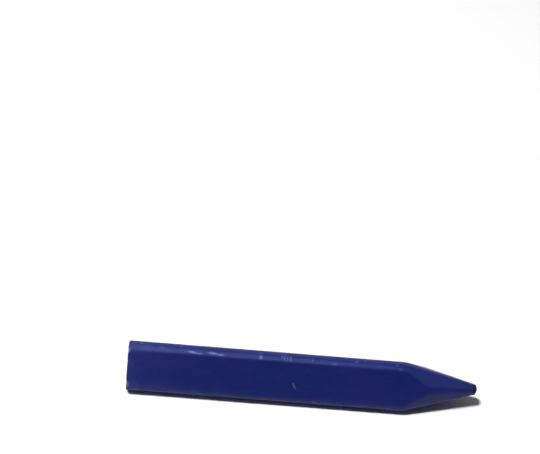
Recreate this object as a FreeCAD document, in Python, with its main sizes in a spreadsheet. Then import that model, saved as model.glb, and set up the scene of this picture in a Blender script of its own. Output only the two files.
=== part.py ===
import FreeCAD, Part
import math
import os

import Sketcher
from FreeCAD import Vector

# Triangular wax crayon, one moulded stick of coloured wax with no sleeve.
# Frame: millimetres, +Z up, +X towards the drawing point. The stick lies on one of its
# three flat sides. The origin is on the surface it lies on, half way along the stick.
# In the body's own frame x = 0 is the square base end, and the stick's axis runs along
# +X at a height equal to the inradius of the three-sided section.

doc = FreeCAD.newDocument("triangular_wax_crayon")

# ---------------------------------------------------------------- driving dimensions
dims = doc.addObject("Spreadsheet::Sheet", "Dims")
ROWS = [
    ("stick_length", 90.0, "base end to drawing point"),
    ("inradius", 4.7, "axis to each of the three flat sides"),
    ("ridge_radius", 2.2, "rounding of the three long ridges"),
    ("cone_half_angle", 14.1, "degrees, side of the point against the axis"),
    ("cone_crown_radius", 1500.0, "the point's side bulges this slightly along its length"),
    ("point_radius", 1.25, "radius of the blunt end of the point, before its edge is rounded"),
    ("point_edge_radius", 0.45, "rounding of the blunt end's edge"),
    ("shoulder_radius", 8.0, "lengthwise arc that blends the ridges into the point"),
    ("shoulder_lift", 0.02, "how far outside the ridges the shoulder arc starts"),
    ("base_edge_radius", 0.4, "rounding of the edge around the base end"),
    ("cut_reach", 3.0, "how far the turned cut runs past the stick on the outside"),
]
dims.set("A1", "dimension")
dims.set("B1", "value")
dims.set("C1", "meaning")
for row, (alias, value, meaning) in enumerate(ROWS, start=2):
    dims.set(f"A{row}", alias)
    dims.set(f"B{row}", repr(value))
    dims.setAlias(f"B{row}", alias)
    dims.set(f"C{row}", meaning)
doc.recompute()


def plane_of(body, role):
    """The body's own origin plane with this role, such as YZ_Plane."""
    return next(f for f in body.Origin.OriginFeatures if f.Role == role)


def bind(sketch, index, name, expression):
    """Names a constraint of a sketch and drives it from the sheet."""
    sketch.renameConstraint(index, name)
    sketch.setExpression("Constraints." + name, expression)


def ready(feature):
    """Recomputes, and stops the build if the feature failed or left a bad shape."""
    doc.recompute()
    bad = [word for word in feature.State if word in ("Invalid", "Error")]
    if bad or feature.Shape.isNull() or not feature.Shape.isValid():
        raise RuntimeError(f"{feature.Name}: {feature.State}")
    return feature.Shape


# ---------------------------------------------------------------- the stick
stick = doc.addObject("PartDesign::Body", "wax_stick")
stick.Label = "wax_stick"
stick.setExpression(".Placement.Base.x", "-Dims.stick_length / 2")

# Section: an equilateral triangle with rounded corners, one flat side down on z = 0.
section = stick.newObject("Sketcher::SketchObject", "Section")
section.AttachmentSupport = [(plane_of(stick, "YZ_Plane"), "")]
section.MapMode = "FlatFace"
RHO, RIDGE = dims.inradius, dims.ridge_radius
GAP = RHO - RIDGE  # inradius of the triangle through the three corner centres
up, right, left = (
    Vector(0, RHO + 2 * GAP, 0),
    Vector(math.sqrt(3) * GAP, RIDGE, 0),
    Vector(-math.sqrt(3) * GAP, RIDGE, 0),
)


def corner(centre, middle_deg):
    """The rounded corner about this centre, 60 degrees either side of its middle."""
    circle = Part.Circle(centre, Vector(0, 0, 1), RIDGE)
    return Part.ArcOfCircle(circle, math.radians(middle_deg - 60), math.radians(middle_deg + 60))


def on(centre, deg):
    return centre + Vector(math.cos(math.radians(deg)), math.sin(math.radians(deg)), 0) * RIDGE


ARC_UP = section.addGeometry(corner(up, 90), False)
ARC_LEFT = section.addGeometry(corner(left, 210), False)
ARC_RIGHT = section.addGeometry(corner(right, 330), False)
SIDE_LEFT = section.addGeometry(Part.LineSegment(on(up, 150), on(left, 150)), False)
SIDE_DOWN = section.addGeometry(Part.LineSegment(on(left, 270), on(right, 270)), False)
SIDE_RIGHT = section.addGeometry(Part.LineSegment(on(right, 30), on(up, 30)), False)
START, END, CENTRE = 1, 2, 3
for one, one_end, other, other_end in (
    (ARC_UP, END, SIDE_LEFT, START),
    (SIDE_LEFT, END, ARC_LEFT, START),
    (ARC_LEFT, END, SIDE_DOWN, START),
    (SIDE_DOWN, END, ARC_RIGHT, START),
    (ARC_RIGHT, END, SIDE_RIGHT, START),
    (SIDE_RIGHT, END, ARC_UP, START),
):
    section.addConstraint(Sketcher.Constraint("Tangent", one, one_end, other, other_end))
section.addConstraint(Sketcher.Constraint("Equal", ARC_UP, ARC_LEFT))
section.addConstraint(Sketcher.Constraint("Equal", ARC_UP, ARC_RIGHT))
section.addConstraint(Sketcher.Constraint("PointOnObject", ARC_UP, CENTRE, -2))
section.addConstraint(Sketcher.Constraint("Symmetric", ARC_LEFT, CENTRE, ARC_RIGHT, CENTRE, -2))
section.addConstraint(Sketcher.Constraint("PointOnObject", SIDE_DOWN, START, -1))
bind(
    section,
    section.addConstraint(Sketcher.Constraint("Radius", ARC_UP, RIDGE)),
    "ridge_round",
    "Dims.ridge_radius",
)
bind(
    section,
    section.addConstraint(
        Sketcher.Constraint("DistanceX", ARC_LEFT, CENTRE, ARC_RIGHT, CENTRE, 2 * math.sqrt(3) * GAP)
    ),
    "centre_span",
    "2 * sqrt(3) * (Dims.inradius - Dims.ridge_radius)",
)
bind(
    section,
    section.addConstraint(Sketcher.Constraint("DistanceY", ARC_LEFT, CENTRE, ARC_UP, CENTRE, 3 * GAP)),
    "centre_rise",
    "3 * (Dims.inradius - Dims.ridge_radius)",
)
doc.recompute()
if section.solve() != 0:
    raise RuntimeError("the section sketch doesn't solve")

# The whole stick as a straight three-sided bar.
bar = stick.newObject("PartDesign::Pad", "Bar")
bar.Profile = section
bar.setExpression("Length", "Dims.stick_length")
section.Visibility = False
whole = ready(bar)

# The drawing point, turned about the stick's axis: a lengthwise arc takes the ridges
# into a cone whose side bulges by less than a tenth of a millimetre. It cuts each flat
# side off in a curved scallop.
turned = stick.newObject("Sketcher::SketchObject", "PointProfile")
turned.AttachmentSupport = [(plane_of(stick, "XZ_Plane"), "")]
turned.MapMode = "FlatFace"
LENGTH, TIP = dims.stick_length, dims.point_radius
TURN = math.radians(dims.cone_half_angle)
BEND, REACH = dims.shoulder_radius, dims.cut_reach
CROWN = 2 * RHO - RIDGE + dims.shoulder_lift  # axis to where the shoulder arc starts
corner_x = LENGTH - (CROWN - TIP) / math.tan(TURN)  # where cone and ridges would meet sharply
arc_x = corner_x - BEND * math.tan(TURN / 2)
arc_middle = Vector(arc_x, RHO + CROWN - BEND, 0)
joint = arc_middle + Vector(math.sin(TURN), math.cos(TURN), 0) * BEND
BULGE = dims.cone_crown_radius
rim = Vector(LENGTH, RHO + TIP, 0)
half_chord = (rim - joint).Length / 2
inward = Vector(-math.sin(TURN), -math.cos(TURN), 0)
bulge_middle = (joint + rim) * 0.5 + inward * math.sqrt(BULGE**2 - half_chord**2)
half_sweep = math.asin(half_chord / BULGE)
past_sweep = math.pi / 2 - TURN - half_sweep - 1.0 / BULGE
past = bulge_middle + Vector(math.cos(past_sweep), math.sin(past_sweep), 0) * BULGE
out_high = Vector(past.x, RHO + CROWN + REACH, 0)
out_back = Vector(arc_x, RHO + CROWN + REACH, 0)

ARC = turned.addGeometry(
    Part.ArcOfCircle(Part.Circle(arc_middle, Vector(0, 0, 1), BEND), math.pi / 2 - TURN, math.pi / 2), False
)
CONE = turned.addGeometry(
    Part.ArcOfCircle(
        Part.Circle(bulge_middle, Vector(0, 0, 1), BULGE), past_sweep, math.pi / 2 - TURN + half_sweep
    ),
    False,
)
OUT_END = turned.addGeometry(Part.LineSegment(past, out_high), False)
OUT_TOP = turned.addGeometry(Part.LineSegment(out_high, out_back), False)
OUT_BACK = turned.addGeometry(Part.LineSegment(out_back, Vector(arc_x, RHO + CROWN, 0)), False)
AXIS = turned.addGeometry(Part.LineSegment(Vector(0, RHO, 0), Vector(LENGTH, RHO, 0)), True)
CHORD = turned.addGeometry(Part.LineSegment(joint, rim), True)
for kind, where in (
    ("Tangent", (ARC, START, CONE, END)),
    ("Coincident", (CONE, START, OUT_END, START)),
    ("Coincident", (OUT_END, END, OUT_TOP, START)),
    ("Coincident", (OUT_TOP, END, OUT_BACK, START)),
    ("Perpendicular", (OUT_BACK, END, ARC, END)),
    ("Vertical", (OUT_END,)),
    ("Horizontal", (OUT_TOP,)),
    ("Vertical", (OUT_BACK,)),
    ("Horizontal", (AXIS,)),
    ("PointOnObject", (AXIS, START, -2)),
    ("Coincident", (CHORD, START, CONE, END)),
    ("PointOnObject", (CHORD, END, CONE)),
    ("Vertical", (AXIS, END, CHORD, END)),
):
    turned.addConstraint(Sketcher.Constraint(kind, *where))
for name, kind, where, value, expression in (
    ("axis_height", "DistanceY", (-1, START, AXIS, START), RHO, "Dims.inradius"),
    ("axis_length", "DistanceX", (-1, START, AXIS, END), LENGTH, "Dims.stick_length"),
    ("rim_radius", "DistanceY", (AXIS, END, CHORD, END), TIP, "Dims.point_radius"),
    ("cone_turn", "Angle", (CHORD,), -TURN, "-Dims.cone_half_angle * 1 deg"),
    ("bulge", "Radius", (CONE,), BULGE, "Dims.cone_crown_radius"),
    ("bend", "Radius", (ARC,), BEND, "Dims.shoulder_radius"),
    (
        "crown",
        "DistanceY",
        (AXIS, START, ARC, END),
        CROWN,
        "2 * Dims.inradius - Dims.ridge_radius + Dims.shoulder_lift",
    ),
    ("overrun", "DistanceX", (CHORD, END, OUT_END, START), 1.0, "1"),
    ("reach", "DistanceY", (ARC, END, OUT_TOP, END), REACH, "Dims.cut_reach"),
):
    bind(turned, turned.addConstraint(Sketcher.Constraint(kind, *where, value)), name, expression)
doc.recompute()
if turned.solve() != 0:
    raise RuntimeError("the point's sketch doesn't solve")

point = stick.newObject("PartDesign::Groove", "Point")
point.Profile = turned
point.ReferenceAxis = (turned, ["Axis0"])
point.Angle = 360.0
turned.Visibility = False
pointed = ready(point)
if not 0.05 < 1 - pointed.Volume / whole.Volume < 0.3:
    raise RuntimeError("the cut that makes the point took the wrong amount of material")


def edges_where(shape, test):
    return [f"Edge{n}" for n, edge in enumerate(shape.Edges, start=1) if test(edge)]


# The blunt end of the point has a soft edge, and so has the square base end.
tip_edges = edges_where(
    pointed, lambda e: e.BoundBox.XMin > LENGTH - 1e-3 and e.BoundBox.XMax < LENGTH + 1e-3
)
soft_point = stick.newObject("PartDesign::Fillet", "PointEdge")
soft_point.Base = (point, tip_edges)
soft_point.setExpression("Radius", "Dims.point_edge_radius")
rounded = ready(soft_point)
base_edges = edges_where(rounded, lambda e: abs(e.BoundBox.XMin) < 1e-3 and abs(e.BoundBox.XMax) < 1e-3)
soft_base = stick.newObject("PartDesign::Fillet", "BaseEdge")
soft_base.Base = (soft_point, base_edges)
soft_base.setExpression("Radius", "Dims.base_edge_radius")
finished = ready(soft_base)
if not finished.Volume < rounded.Volume < pointed.Volume:
    raise RuntimeError("a rounded edge took no material")
stick.Tip = soft_base
doc.recompute()

# ---------------------------------------------------------------- checks and export
for item in doc.Objects:
    if any(word in ("Invalid", "Error") for word in item.State):
        raise RuntimeError(f"{item.Name} failed: {item.State}")
    if item.isDerivedFrom("Sketcher::SketchObject") and item.solve() != 0:
        raise RuntimeError(f"{item.Name} doesn't solve")

os.makedirs("parts", exist_ok=True)
for node in (stick,):
    shape = node.Shape
    if shape.isNull() or not shape.isValid() or len(shape.Solids) != 1:
        raise RuntimeError(f"{node.Label} isn't one valid solid")
    shape.exportStep(f"parts/{node.Label}.step")
    box = shape.BoundBox
    print(
        f"{node.Label}: {shape.Volume:.1f} mm3, "
        f"x {box.XMin:.3f}..{box.XMax:.3f}, y {box.YMin:.3f}..{box.YMax:.3f}, z {box.ZMin:.3f}..{box.ZMax:.3f}"
    )
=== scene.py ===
import math

import bmesh
import bpy
import numpy as np
from mathutils import Matrix, Vector, noise


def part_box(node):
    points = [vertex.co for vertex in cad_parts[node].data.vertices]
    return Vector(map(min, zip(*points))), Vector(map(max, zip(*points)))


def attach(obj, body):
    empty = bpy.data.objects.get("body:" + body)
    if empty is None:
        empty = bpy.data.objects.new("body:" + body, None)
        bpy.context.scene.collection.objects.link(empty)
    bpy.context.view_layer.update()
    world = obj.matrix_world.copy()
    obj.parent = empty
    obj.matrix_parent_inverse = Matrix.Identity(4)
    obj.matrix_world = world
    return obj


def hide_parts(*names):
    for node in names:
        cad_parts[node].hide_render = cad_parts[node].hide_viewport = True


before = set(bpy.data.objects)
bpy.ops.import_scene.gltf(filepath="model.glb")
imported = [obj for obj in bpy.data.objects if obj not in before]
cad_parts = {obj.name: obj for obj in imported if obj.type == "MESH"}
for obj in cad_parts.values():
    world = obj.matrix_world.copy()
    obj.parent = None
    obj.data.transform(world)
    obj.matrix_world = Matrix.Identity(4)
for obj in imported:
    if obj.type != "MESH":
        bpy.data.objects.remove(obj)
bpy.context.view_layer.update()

MM = 0.001

# ------------------------------------------------------------------ sizes, from the frame
lo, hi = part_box("wax_stick")
LENGTH = (hi.x - lo.x) / MM
HEIGHT = (hi.z - lo.z) / MM
WIDTH = (hi.y - lo.y) / MM
# A rounded equilateral section of inradius RHO and corner radius RIDGE is 3 RHO - RIDGE high
# and 2 sqrt(3) (RHO - RIDGE) + 2 RIDGE across.
ROOT3 = math.sqrt(3)
RHO = (WIDTH - (2 * ROOT3 - 2) * HEIGHT) / (6 - 4 * ROOT3)
RIDGE = 3 * RHO - HEIGHT
TURN = math.radians(14.1)
TAN = math.tan(TURN)
TIP_R, TIP_EDGE, BASE_EDGE, SOFT = 1.25, 0.45, 0.42, 0.30

rng = np.random.default_rng(20417)


def fbm(p, scale, octaves=3, seed=0.0):
    """Smooth noise, about -1 to 1, at points p (n, 3) in millimetres, with features of this scale in mm."""
    off = Vector((seed * 17.13, seed * 7.77 + 3.1, seed * 3.33 - 5.7))
    out = np.empty(len(p))
    for i, q in enumerate(p / scale):
        v, a, f = 0.0, 1.0, 1.0
        w = Vector(q) + off
        for _ in range(octaves):
            v += a * noise.noise(w * f)
            a *= 0.5
            f *= 2.03
        out[i] = v
    return out


def smin(a, b, k):
    h = np.maximum(k - np.abs(a - b), 0) / k
    return np.minimum(a, b) - h * h * k / 4


def smooth(x, a, b):
    t = np.clip((x - a) / (b - a), 0, 1)
    return t * t * (3 - 2 * t)


# ------------------------------------------------------------------ the stick's section
# Columns run round the section from the top ridge, over the near side, along the bottom
# and back up the far side. Ridges and sides are spaced evenly along the surface.
N_CORNER, N_FLAT = 22, 40
C = 2 * (RHO - RIDGE)
cols = []
for k, A in enumerate((90, 210, 330)):
    for b in np.linspace(0 if k == 0 else -60, 60, (N_CORNER // 2 if k == 0 else N_CORNER) + 1):
        a, t = math.radians(A), math.radians(A + b)
        cols.append((C * math.cos(a) + RIDGE * math.cos(t), C * math.sin(a) + RIDGE * math.sin(t)))
    y0, z0 = cols[-1]
    a, t = math.radians(A + 120), math.radians(A + 60)
    y1, z1 = C * math.cos(a) + RIDGE * math.cos(t), C * math.sin(a) + RIDGE * math.sin(t)
    for t in np.linspace(0, 1, N_FLAT + 1)[1:-1]:
        cols.append((y0 + (y1 - y0) * t, z0 + (z1 - z0) * t))
for b in np.linspace(-60, 0, N_CORNER // 2 + 1)[:-1]:
    a, t = math.radians(90), math.radians(90 + b)
    cols.append((C * math.cos(a) + RIDGE * math.cos(t), C * math.sin(a) + RIDGE * math.sin(t)))
cols = np.array(cols)
M = len(cols)
R_TRI = np.hypot(cols[:, 0], cols[:, 1])
DIR = cols / R_TRI[:, None]
step = np.hypot(*(np.roll(cols, -1, 0) - cols).T)
S = np.concatenate([[0], np.cumsum(step)])[:-1]
GIRTH = float(step.sum())
ARC = math.radians(120) * RIDGE  # surface length of one ridge
FLAT = GIRTH / 3 - ARC
RIDGES = [0.0, GIRTH / 3, 2 * GIRTH / 3]  # top, near-lower, far-lower


THETA = np.arctan2(cols[:, 1], cols[:, 0])
OFF = np.abs((THETA - math.radians(90) + math.pi / 3) % (2 * math.pi / 3) - math.pi / 3)  # from the nearest ridge
RUN_OUT = 19.2  # the ridges start to draw in this far from the tip
TIP_C, TIP_CR = 0.30, 1.018


def cone_r(x):
    """Radius of the drawing point at x mm from the base end: a cone wrapped tight over the three ridges running out."""
    t = LENGTH - x
    u = np.clip(t / 22.7, 0, 1)
    cone = TIP_R + t * TAN + 4 * 0.04 * u * (1 - u)
    c = TIP_C + (C - TIP_C) * t / RUN_OUT
    r = TIP_CR + (RIDGE - TIP_CR) * t / RUN_OUT
    turn = np.arccos(np.clip((cone - r) / c, 0.5, 1))  # where the flat strip between ridge and cone faces
    reach = c * np.cos(turn) + r
    meets = np.arctan2(r * np.sin(turn), c + r * np.cos(turn))
    arc = c * np.cos(OFF) + np.sqrt(np.maximum(r * r - (c * np.sin(OFF)) ** 2, 0))
    strip = reach / np.cos(turn - OFF)
    return np.where(OFF < meets, arc, np.where(OFF < turn, strip, np.maximum(cone, reach)))


# ------------------------------------------------------------------ rings from base end to tip
STEP = 0.215
rings = []  # each (x, r) arrays over the columns, and a tag
CAP_RINGS = 30
for t in np.linspace(0.035, 1, CAP_RINGS):
    t2 = t ** 0.9
    dish = 0.10 * (1 - t2 ** 2)  # the base end is a little hollow where the wax shrank
    rings.append((np.full(M, dish), (R_TRI - BASE_EDGE) * t2, 0))
for a in np.linspace(0, math.pi / 2, 5)[1:]:
    rings.append((np.full(M, BASE_EDGE * (1 - math.cos(a))), R_TRI - BASE_EDGE + BASE_EDGE * math.sin(a), 1))
side_end = LENGTH - TIP_EDGE * (1 - math.sin(TURN))
n_side = int(round((side_end - BASE_EDGE) / STEP))
for x in np.linspace(BASE_EDGE, side_end, n_side + 1)[1:]:
    rings.append((np.full(M, x), smin(R_TRI, cone_r(np.full(M, x)), SOFT), 2))
rc = TIP_R - TIP_EDGE * (1 - math.sin(TURN)) / math.cos(TURN)
for a in np.linspace(TURN, math.pi / 2, 6)[1:]:
    rings.append((np.full(M, LENGTH - TIP_EDGE + TIP_EDGE * math.sin(a)), np.full(M, rc + TIP_EDGE * math.cos(a)), 3))
for t in np.linspace(1, 0.12, 6)[1:]:
    rings.append((np.full(M, LENGTH + 0.0 * t), np.full(M, rc * t), 4))

X = np.array([r[0] for r in rings])
R = np.array([r[1] for r in rings])
TAG = np.array([r[2] for r in rings])
NR = len(rings)
P = np.stack([X, R * DIR[:, 0], R * DIR[:, 1]], -1)  # axis frame, mm: x from base end


def normals(P):
    gx = np.gradient(P, axis=0)
    gs = np.roll(P, -1, 1) - np.roll(P, 1, 1)
    n = np.cross(gs, gx)
    n /= np.maximum(np.linalg.norm(n, axis=-1, keepdims=True), 1e-12)
    radial = np.stack([np.zeros(P.shape[:2]), P[..., 1], P[..., 2]], -1)
    side = np.sign((n * radial).sum(-1).mean())
    return n * side


# The top ridge's near side has been rubbed to a slim flat, which is what catches the light.
SS = np.broadcast_to(S, X.shape)


def around(s0):
    """Signed surface distance round the section from s0, in mm."""
    return (SS - s0 + GIRTH / 2) % GIRTH - GIRTH / 2


def rubbed(P, turn, corner, depth):
    """Flatten a ridge: turn is the flat's outward direction in degrees, depth in mm (an array)."""
    a, c = math.radians(turn), math.radians(corner)
    ny, nz = math.cos(a), math.sin(a)
    reach = C * (math.cos(c) * ny + math.sin(c) * nz) + RIDGE - depth
    over = P[..., 1] * ny + P[..., 2] * nz - reach
    over = np.maximum(over, 0) * (TAG[:, None] == 2)
    P[..., 1] -= over * ny
    P[..., 2] -= over * nz
    return smooth(over, 0.0, 0.012)


xs = X[:, :1]
lane = fbm(np.concatenate([xs, 0 * xs, 0 * xs], 1), 9.0, 3, 11.0)[:, None]
lane2 = fbm(np.concatenate([xs, 0 * xs, 0 * xs], 1), 13.0, 3, 12.0)[:, None]
ends = smooth(xs, 0.3, 2.0) * (1 - smooth(xs, 65.0, 67.6))
facet = rubbed(P, 116.5, 90, (0.052 - 0.020 * smooth(xs, 36, 58) + 0.055 * np.exp(-xs / 16) + 0.018 * lane) * ends)
facet = np.maximum(facet, 0.8 * rubbed(P, 217, 210, (0.12 + 0.04 * lane2) * ends))
facet = np.maximum(facet, 0.8 * rubbed(P, 312, 330, (0.05 + 0.05 * lane) * ends))

N = normals(P)
N[TAG == 0] = (-1, 0, 0)
N[TAG == 4] = (1, 0, 0)

ridge_off = np.min(np.abs(np.stack([around(s) for s in RIDGES])), 0)  # distance to the nearest ridge line
on_ridge = 1 - smooth(ridge_off, ARC * 0.28, ARC * 0.62)
flat_part = smooth(ridge_off, ARC * 0.45, ARC * 0.75)
point_part = smooth(R_TRI[None, :] - cone_r(X), -0.35, 0.1) * (TAG[:, None] >= 2)
is_side = (TAG == 2).astype(float)[:, None] * np.ones(M)

flat_pts = P.reshape(-1, 3)
# ------------------------------------------------------------------ shape of real wax
# Slow waviness left by uneven cooling, a faint lengthwise sink in each flat side, small
# dents, and knocks along the ridges. Depths are in mm and go inwards.
d = np.zeros(X.shape)
wave = fbm(flat_pts * np.array([0.55, 1, 1]), 6.5, 2, 1.0).reshape(X.shape)
fine = fbm(flat_pts * np.array([0.6, 1, 1]), 1.5, 2, 2.0).reshape(X.shape)
d -= 0.020 * (0.5 + 0.5 * wave) * is_side
d -= 0.0035 * (1 + fine) * is_side
sink_u = np.clip((ridge_off - ARC / 2) / (FLAT / 2), 0, 1)
d -= 0.035 * np.sin(sink_u * math.pi / 2) ** 2 * is_side * (1 - point_part) * smooth(X, 0, 6)

bare_wax_and_glint = np.zeros(X.shape)  # bare, broken wax in knocks and chips; on the upper ridge's knocks it is painted glints
shine = np.zeros(X.shape)  # left empty and not used
scuff = np.zeros(X.shape)


def dent(x0, s0, lx, ls, depth, turn=0.0, lip=0.25, wear_and_highlight=0.0, power=2.0):
    """A dent lx by ls mm (half sizes), this deep, turned in the surface, with a raised lip."""
    global d, bare_wax_and_glint
    u, v = X - x0, around(s0)
    c, s = math.cos(math.radians(turn)), math.sin(math.radians(turn))
    a, b = (c * u + s * v) / lx, (-s * u + c * v) / ls
    q = (np.abs(a) ** power + np.abs(b) ** power) ** (1 / power)
    pit = np.exp(-q ** 2 * 1.6)
    rim = np.exp(-((q - 1.45) / 0.35) ** 2)
    d = d - depth * pit * is_side + depth * lip * rim * is_side
    bare_wax_and_glint = np.maximum(bare_wax_and_glint, wear_and_highlight * np.exp(-q ** 4) * is_side)


# knocks on the upper ridge, painted pale as glints: painted highlight
for x0, s0, lx, ls, depth, turn, wear_and_highlight in (
    (16.2, 1.20, 1.1, 0.25, 0.075, 4, 1.0),
    (17.9, 1.42, 0.8, 0.16, 0.055, -3, 0.8),
    (21.3, 1.10, 1.2, 0.25, 0.070, 3, 1.0),
    (23.3, 1.32, 1.0, 0.18, 0.060, -2, 0.9),
    (33.4, 1.15, 0.42, 0.48, 0.11, 15, 0.7),
    (33.4, 0.0, 0.16, 0.8, 0.05, 84, 0.3),
    (38.8, 0.55, 0.17, 0.85, 0.055, 6, 0.35),
    (39.5, 0.75, 0.17, 0.95, 0.070, 3, 0.45),
    (40.2, 0.85, 0.17, 0.85, 0.060, 5, 0.4),
    (41.0, 0.95, 0.19, 0.75, 0.065, 2, 0.5),
    (46.6, 0.9, 0.3, 0.35, 0.05, 0, 0.25),
    (52.3, 1.4, 0.8, 0.2, 0.04, 4, 0.2),
    (57.8, 0.4, 0.5, 0.28, 0.05, -8, 0.25),
    (68.3, 0.35, 0.5, 0.55, 0.10, 25, 0.15),
    (69.0, 1.5, 0.40, 0.30, 0.05, -20, 0.12),
    (8.4, 0.6, 0.7, 0.25, 0.04, 5, 0.2),
    (3.2, -0.4, 0.4, 0.4, 0.06, 0, 0.3),
):
    dent(x0, s0, lx, ls, depth, turn, 0.3, wear_and_highlight)
# the scuff on the near side, and softer handling dents over all three sides
dent(42.50, 8.10, 0.90, 0.20, 0.035, 59, 0.5, 0.45)
dent(42.25, 7.65, 0.45, 0.28, 0.030, 62, 0.4, 0.42)
dent(26.2, 4.6, 0.9, 0.7, 0.03, 0, 0.1, 0.0)
dent(64.9, 6.9, 0.5, 2.4, 0.018, 5, 0.0, 0.0)
for _ in range(46):
    x0, s0 = rng.uniform(1.5, 67), rng.uniform(0, GIRTH)
    big = rng.random() ** 2
    size = 0.35 + 1.0 * big
    dent(x0, s0, size, size * rng.uniform(0.5, 1.0), 0.006 + 0.012 * big * rng.random(), rng.uniform(0, 180), 0.15, 0.0)
# knocks on the two lower ridges, which the photo doesn't show in full
for ridge in RIDGES[1:]:
    for _ in range(11):
        x0, s0 = rng.uniform(2, 67), ridge + rng.normal(0, 0.8)
        dent(x0, s0, rng.uniform(0.2, 0.9), rng.uniform(0.18, 0.4), rng.uniform(0.03, 0.09), rng.uniform(-25, 25), 0.3, rng.uniform(0.15, 0.55))
for _ in range(6):
    dent(rng.uniform(2, 66), rng.normal(0, 1.0) - 0.9, rng.uniform(0.2, 0.8), rng.uniform(0.18, 0.35), rng.uniform(0.03, 0.07), rng.uniform(-20, 20), 0.3, rng.uniform(0.1, 0.4))
# drawing has rubbed one side of the point
rub = np.exp(-((X - 88.6) / 1.5) ** 2) * np.exp(-(around(GIRTH * 0.80) / 5.0) ** 2) * (TAG[:, None] >= 2)
d -= 0.05 * rub
P = P + N * d[..., None]

# base end: scraped flat across the mould's mouth, with a ragged edge and small chips
base = TAG <= 1
edge = smooth(R / (R_TRI[None, :] - BASE_EDGE), 0.8, 1.0) * base[:, None]
rough_cap = fbm(flat_pts, 1.1, 3, 4.0).reshape(X.shape)
lines = np.sin((P[..., 1] * 0.94 + P[..., 2] * 0.34) * 2 * math.pi / 0.85 + 1.6 * fbm(flat_pts, 4, 1, 5.0).reshape(X.shape))
P[..., 0] += np.where(base[:, None], 0.018 * rough_cap + 0.012 * lines * (TAG == 0)[:, None], 0)
ragged = fbm(np.stack([np.zeros(M), cols[:, 0], cols[:, 1]], -1), 1.6, 3, 6.0)
P[..., 0] += np.where((TAG <= 1)[:, None], np.maximum(ragged, 0)[None, :] * 0.10 * edge, 0)
for s0, w, depth in ((1.9, 0.5, 0.13), (10.9, 0.6, 0.10), (18.6, 0.45, 0.16), (22.4, 0.7, 0.10), (27.6, 0.5, 0.14), (37.2, 0.55, 0.12)):
    near = np.exp(-(around(s0) / w) ** 2) * np.exp(-(np.maximum(X - 0.2, 0) / 0.45) ** 2) * smooth(R, R_TRI[None, :] - 1.3, R_TRI[None, :] - 0.3)
    P += np.where((TAG <= 2)[:, None, None], -N * (depth * near)[..., None], 0)
    P[..., 0] += np.where(base[:, None], depth * 0.7 * near, 0)
    bare_wax_and_glint = np.maximum(bare_wax_and_glint, 0.8 * near)
# tip: the blunt end is a little out of square and crumbled at its rim
tip = (TAG >= 3)[:, None] * np.ones(M)
tilt = (P[..., 2] * 0.05 - P[..., 1] * 0.03 - 0.07)
crumble = fbm(flat_pts, 0.55, 3, 7.0).reshape(X.shape)
P[..., 0] += tip * np.minimum(tilt + 0.05 * crumble, 0)
shrink = 1 - 0.035 * np.maximum(crumble, 0) * tip
P[..., 1] *= shrink
P[..., 2] *= shrink

# ------------------------------------------------------------------ masks for the material
streak = fbm(np.stack([X * 0.12, P[..., 1], P[..., 2]], -1).reshape(-1, 3), 1.1, 3, 8.0).reshape(X.shape)
# painted highlight: the rubbed flat on the top ridge is painted a paler blue, fading towards the point, standing in for
# the sheen band; the ridges and the base rim also carry real handling wear
ridge_wear_and_sheen = np.maximum(0.15 * on_ridge * is_side * np.clip(0.25 + 0.5 * wave + 0.35 * streak, 0, 1), facet * (1 - 0.5 * smooth(xs, 44, 60)) * np.clip(0.75 + 0.5 * wave + 0.35 * streak, 0, 1))
ridge_wear_and_sheen = np.maximum(ridge_wear_and_sheen, (TAG == 1)[:, None] * 0.7)
# wax bloom, paler towards the base end; the long fade along the stick and the pale band just inside the base end are
# also painted light, making the base half lighter as if more light fell there
bloom_and_painted_light = np.clip(0.80 * np.exp(-X / 2.4) + 0.28 * np.exp(-X / 9.0) + 0.36 * np.exp(-X / 35.0) * np.clip(0.6 + 0.7 * wave, 0, 1), 0, 1)
bloom_and_painted_light = np.where(base[:, None], np.clip(0.78 + 0.25 * rough_cap, 0, 1), bloom_and_painted_light)
cap_face = (TAG == 0)[:, None] * np.ones(M)
# the tip's rim and end are painted near black
tip_dark = smooth(X + 0.12 * fbm(flat_pts, 0.9, 2, 9.0).reshape(X.shape), LENGTH - 1.35, LENGTH - 0.95) * (TAG[:, None] >= 2)

# ------------------------------------------------------------------ mesh
Q = P * MM
Q[..., 0] += lo.x
Q[..., 2] += lo.z + RHO * MM
Q[..., 2] = np.maximum(Q[..., 2], lo.z)
me = bpy.data.meshes.new("wax_stick_visual")
verts = [tuple(v) for v in Q.reshape(-1, 3)]
base_centre = len(verts)
verts.append(tuple(Q[0].mean(0)))
tip_centre = len(verts)
verts.append(tuple(Q[-1].mean(0)))
faces = []
for i in range(NR - 1):
    for j in range(M):
        k = (j + 1) % M
        faces.append((i * M + j, i * M + k, (i + 1) * M + k, (i + 1) * M + j))
for j in range(M):
    k = (j + 1) % M
    faces.append((base_centre, k, j))
    faces.append((tip_centre, (NR - 1) * M + j, (NR - 1) * M + k))
me.from_pydata(verts, [], faces)
me.validate()
bm = bmesh.new()
bm.from_mesh(me)
bmesh.ops.recalc_face_normals(bm, faces=bm.faces)
bm.to_mesh(me)
bm.free()
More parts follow.
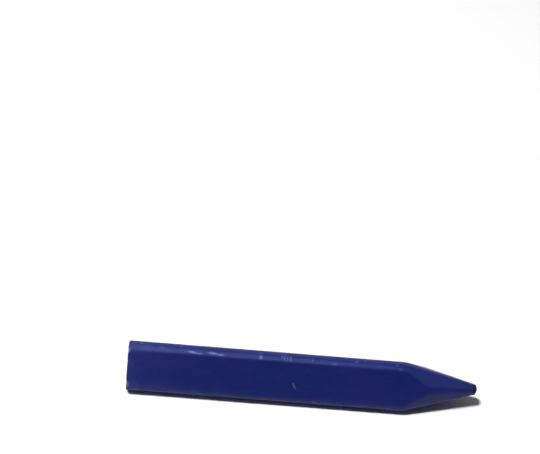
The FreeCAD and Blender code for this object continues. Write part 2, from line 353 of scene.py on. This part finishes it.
# these masks carry real wear and bloom, and also painted highlight on the top ridge, painted glints at knocks and
# painted light on the point and towards the base end
for name, field, at_base, at_tip in (
    ("wear_and_highlight", ridge_wear_and_sheen, 0.0, 0.0),
    ("bare_wax_and_glint", bare_wax_and_glint, 0.0, 0.0),
    ("bloom_and_painted_light", bloom_and_painted_light, 0.8, 0.0),
    ("end_face", cap_face, 1.0, 0.0),
    ("tip_end", tip_dark * np.where(TAG == 4, 0.45, 1.0)[:, None], 0.0, 0.45),
    ("point", point_part * smooth(X, 70, 76), 0.0, 1.0),
):
    a = me.attributes.new(name, "FLOAT", "POINT")
    a.data.foreach_set("value", np.concatenate([np.clip(field, 0, 1).ravel(), [at_base, at_tip]]).astype(np.float32))
me.polygons.foreach_set("use_smooth", [True] * len(me.polygons))
me.update()
stick = bpy.data.objects.new("crayon_stick", me)
bpy.context.scene.collection.objects.link(stick)

# ------------------------------------------------------------------ wax material
mat = bpy.data.materials.new("blue_wax")
mat.use_nodes = True
nt = mat.node_tree
nt.nodes.clear()


def node(kind, **values):
    n = nt.nodes.new(kind)
    for k, v in values.items():
        if k in n.bl_rna.properties:
            setattr(n, k, v)
        else:
            n.inputs[k.replace("_", " ")].default_value = v
    return n


def link(a, b):
    nt.links.new(a, b)


def attr(name):
    n = nt.nodes.new("ShaderNodeAttribute")
    n.attribute_type, n.attribute_name = "GEOMETRY", name
    return n.outputs["Fac"]


def math_(op, a, b=None, clamp=False):
    n = nt.nodes.new("ShaderNodeMath")
    n.operation, n.use_clamp = op, clamp
    for i, v in enumerate((a, b)):
        if v is None:
            continue
        if isinstance(v, (int, float)):
            n.inputs[i].default_value = v
        else:
            link(v, n.inputs[i])
    return n.outputs[0]


def mix(fac, a, b):
    n = nt.nodes.new("ShaderNodeMix")
    n.data_type = "RGBA"
    n.clamp_factor = True
    for sock, v in ((n.inputs[0], fac), (n.inputs[6], a), (n.inputs[7], b)):
        if isinstance(v, (int, float)):
            sock.default_value = v
        elif isinstance(v, tuple):
            sock.default_value = (*v, 1)
        else:
            link(v, sock)
    return n.outputs[2]


def ramp(v, a, b, lo_=0.0, hi_=1.0):
    n = nt.nodes.new("ShaderNodeMapRange")
    n.interpolation_type = "SMOOTHSTEP"
    link(v, n.inputs["Value"])
    n.inputs["From Min"].default_value, n.inputs["From Max"].default_value = a, b
    n.inputs["To Min"].default_value, n.inputs["To Max"].default_value = lo_, hi_
    return n.outputs[0]


coord = nt.nodes.new("ShaderNodeTexCoord").outputs["Object"]


def mapped(scale):
    n = nt.nodes.new("ShaderNodeMapping")
    n.inputs["Scale"].default_value = scale
    link(coord, n.inputs["Vector"])
    return n.outputs[0]


def tex(vector, size_mm, detail=3.0, rough=0.55, distort=0.0):
    n = nt.nodes.new("ShaderNodeTexNoise")
    n.inputs["Scale"].default_value = 1000.0 / size_mm
    n.inputs["Detail"].default_value = detail
    n.inputs["Roughness"].default_value = rough
    n.inputs["Distortion"].default_value = distort
    link(vector, n.inputs["Vector"])
    return n.outputs["Fac"]


long_ = mapped((0.06, 1, 1))
cloud = tex(mapped((0.5, 1, 1)), 9.0, 3)
mottle = tex(mapped((0.7, 1, 1)), 1.4, 3, 0.5)
grain = tex(coord, 0.28, 3, 0.6)
lines_n = tex(long_, 0.55, 3, 0.6)
fine_lines = tex(mapped((0.02, 1, 1)), 0.22, 2, 0.5)
haze = tex(coord, 3.2, 3, 0.55)

DEEP, PLUM, PALE, RAW = (0.0045, 0.0124, 0.112), (0.0073, 0.0122, 0.123), (0.050, 0.072, 0.270), (0.19, 0.22, 0.52)
colour = mix(ramp(cloud, 0.35, 0.65), DEEP, PLUM)
colour = mix(ramp(mottle, 0.45, 0.75, 0.0, 0.30), colour, (0.0085, 0.0220, 0.175))
colour = mix(ramp(lines_n, 0.50, 0.80, 0.0, 0.22), colour, (0.0140, 0.0230, 0.180))
# bloom paints a paler blue towards the base end: wax bloom, and partly painted light
bloom_and_light_v = math_("MULTIPLY", attr("bloom_and_painted_light"), ramp(haze, 0.30, 0.70, 0.35, 1.0))
colour = mix(math_("MULTIPLY", bloom_and_light_v, 0.34), colour, PALE)
# paler blue on worn ridges; on the top ridge's rubbed flat this is painted highlight
wear_and_sheen_v = math_("MULTIPLY", attr("wear_and_highlight"), ramp(haze, 0.35, 0.65, 0.25, 1.0))
colour = mix(math_("MULTIPLY", wear_and_sheen_v, 0.42), colour, (0.0200, 0.0440, 0.2500))
# pale bare wax at knocks and chips; on the upper ridge's knocks this is painted highlight (glints)
colour = mix(math_("MULTIPLY", attr("bare_wax_and_glint"), ramp(grain, 0.3, 0.7, 0.50, 0.95)), colour, RAW)
# painted light: the whole point is mixed to a lighter blue, standing in for the extra light that falls on it
colour = mix(math_("MULTIPLY", attr("point"), 0.14), colour, (0.0110, 0.0170, 0.1600))
# near-black paint round the tip's rim and over its end
colour = mix(math_("MULTIPLY", attr("tip_end"), 0.86), colour, (0.0030, 0.0045, 0.022))

rough = ramp(cloud, 0.30, 0.75, 0.315, 0.365)
rough = math_("ADD", rough, ramp(haze, 0.25, 0.85, -0.015, 0.035))
rough = math_("ADD", rough, math_("MULTIPLY", attr("bare_wax_and_glint"), 0.22))
rough = math_("ADD", rough, math_("MULTIPLY", bloom_and_light_v, 0.12))
rough = math_("ADD", rough, math_("MULTIPLY", attr("end_face"), 0.16), True)

height = math_("MULTIPLY", mottle, 0.55)
height = math_("ADD", height, math_("MULTIPLY", lines_n, 0.45))
height = math_("ADD", height, math_("MULTIPLY", fine_lines, 0.18))
height = math_("ADD", height, math_("MULTIPLY", grain, 0.22))
scrape = tex(mapped((1, 1, 0.08)), 0.30, 3, 0.6)
height = math_("ADD", height, math_("MULTIPLY", math_("MULTIPLY", scrape, attr("end_face")), 1.6))
bump = nt.nodes.new("ShaderNodeBump")
bump.inputs["Strength"].default_value = 0.55
bump.inputs["Distance"].default_value = 0.000045
link(height, bump.inputs["Height"])

bsdf = nt.nodes.new("ShaderNodeBsdfPrincipled")
link(colour, bsdf.inputs["Base Color"])
link(rough, bsdf.inputs["Roughness"])
link(bump.outputs[0], bsdf.inputs["Normal"])
bsdf.inputs["IOR"].default_value = 1.45
bsdf.inputs["Specular IOR Level"].default_value = 0.22
bsdf.inputs["Subsurface Weight"].default_value = 0.08
bsdf.inputs["Subsurface Radius"].default_value = (0.4, 0.5, 1.0)
bsdf.inputs["Subsurface Scale"].default_value = 0.0006
out = nt.nodes.new("ShaderNodeOutputMaterial")
link(bsdf.outputs[0], out.inputs["Surface"])
me.materials.append(mat)
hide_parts("wax_stick")
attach(stick, "root")

# ------------------------------------------------------------------ floor
fm = bpy.data.meshes.new("floor")
fm.from_pydata([(-3, -3, 0), (3, -3, 0), (3, 3, 0), (-3, 3, 0)], [], [(0, 1, 2, 3)])
floor = bpy.data.objects.new("floor", fm)
floor.location.z = lo.z - 0.00002
bpy.context.scene.collection.objects.link(floor)
fmat = bpy.data.materials.new("paper_white")
fmat.use_nodes = True
fb = fmat.node_tree.nodes["Principled BSDF"]
fb.inputs["Base Color"].default_value = (0.86, 0.86, 0.86, 1)
fb.inputs["Roughness"].default_value = 0.85
fb.inputs["Specular IOR Level"].default_value = 0.1
fm.materials.append(fmat)

# a plain pale wall far off, seen only directly
ring = [(0.95 * math.cos(a), 0.95 * math.sin(a)) for a in np.linspace(0, 2 * math.pi, 97)[:-1]]
wm = bpy.data.meshes.new("wall")
wm.from_pydata([(x, y, z) for z in (-0.2, 3.0) for x, y in ring], [], [(i, (i + 1) % 96, 96 + (i + 1) % 96, 96 + i) for i in range(96)])
wall = bpy.data.objects.new("wall", wm)
bpy.context.scene.collection.objects.link(wall)
wmat = bpy.data.materials.new("pale_wall")
wmat.use_nodes = True
pb = wmat.node_tree.nodes["Principled BSDF"]
pb.inputs["Base Color"].default_value = (0.02, 0.02, 0.02, 1)
pb.inputs["Specular IOR Level"].default_value = 0.0
pb.inputs["Emission Color"].default_value = (1, 1, 1, 1)
pb.inputs["Emission Strength"].default_value = 0.80
wm.materials.append(wmat)
wall.visible_diffuse = wall.visible_glossy = wall.visible_transmission = wall.visible_shadow = False

# ------------------------------------------------------------------ light
world = bpy.data.worlds.new("studio")
bpy.context.scene.world = world
world.use_nodes = True
wt = world.node_tree
wt.nodes.clear()
wc = wt.nodes.new("ShaderNodeTexCoord")
ws = wt.nodes.new("ShaderNodeSeparateXYZ")
wt.links.new(wc.outputs["Generated"], ws.inputs[0])
wr = wt.nodes.new("ShaderNodeMapRange")
wr.interpolation_type = "SMOOTHSTEP"
wr.inputs["From Min"].default_value, wr.inputs["From Max"].default_value = 0.30, 0.85
wr.inputs["To Min"].default_value, wr.inputs["To Max"].default_value = 0.03, 0.07
wt.links.new(ws.outputs["Z"], wr.inputs["Value"])
wb = wt.nodes.new("ShaderNodeBackground")
wb.inputs["Color"].default_value = (1.0, 1.0, 1.0, 1)
wy = wt.nodes.new("ShaderNodeMapRange")  # a little more from behind
wy.interpolation_type = "SMOOTHSTEP"
wy.inputs["From Min"].default_value, wy.inputs["From Max"].default_value = -0.05, 0.60
wy.inputs["To Min"].default_value, wy.inputs["To Max"].default_value = 0.0, 0.19
wt.links.new(ws.outputs["Y"], wy.inputs["Value"])
wa = wt.nodes.new("ShaderNodeMath")
wt.links.new(wr.outputs[0], wa.inputs[0])
wt.links.new(wy.outputs[0], wa.inputs[1])
wt.links.new(wa.outputs[0], wb.inputs["Strength"])
wo = wt.nodes.new("ShaderNodeOutputWorld")
wt.links.new(wb.outputs[0], wo.inputs[0])


def area(name, at, target, size, power, colour=(1, 1, 1)):
    l = bpy.data.lights.new(name, "AREA")
    l.shape, l.size, l.size_y = "RECTANGLE", size[0], size[1]
    l.energy, l.color = power, colour
    o = bpy.data.objects.new(name, l)
    o.location = at
    o.rotation_euler = (Vector(target) - Vector(at)).to_track_quat("-Z", "Y").to_euler()
    bpy.context.scene.collection.objects.link(o)
    return o


key = area("overhead", (-0.43, 0.0, 1.15), (0, 0, 0), (0.20, 0.20), 18.8)
key.visible_glossy = False  # it lights the wax and the floor; the softbox makes the sheen
box = area("softbox", (-0.24, -0.275, 0.82), (0, 0, 0), (1.1, 0.72), 9.3)
box.visible_diffuse = False
back = area("back_panel", (0.05, 0.75, 0.55), (0, 0, 0), (1.6, 0.6), 4.2)
back.visible_diffuse = False
side = area("side_panel", (0.62, -0.28, 0.55), (0, 0, 0), (0.7, 0.6), 1.3)
side.visible_diffuse = False

# ------------------------------------------------------------------ camera
cam = bpy.data.cameras.new("camera")
cam.sensor_width = 36.0
cam.lens = 60.94
cam.clip_start, cam.clip_end = 0.01, 20
co = bpy.data.objects.new("camera", cam)
right = Vector((0.9960639, 0.0285495, 0.0839141))
up = Vector((-0.0830922, 0.6303564, 0.7718462))
back = right.cross(up)
m = Matrix((right, up, back)).transposed().to_4x4()
m.translation = Vector((-0.0191008, -0.1592176, 0.1825015)) + Vector(((lo.x + hi.x) / 2, 0, lo.z))
co.matrix_world = m
bpy.context.scene.collection.objects.link(co)
bpy.context.scene.camera = co
bpy.context.scene.view_settings.view_transform = "Standard"
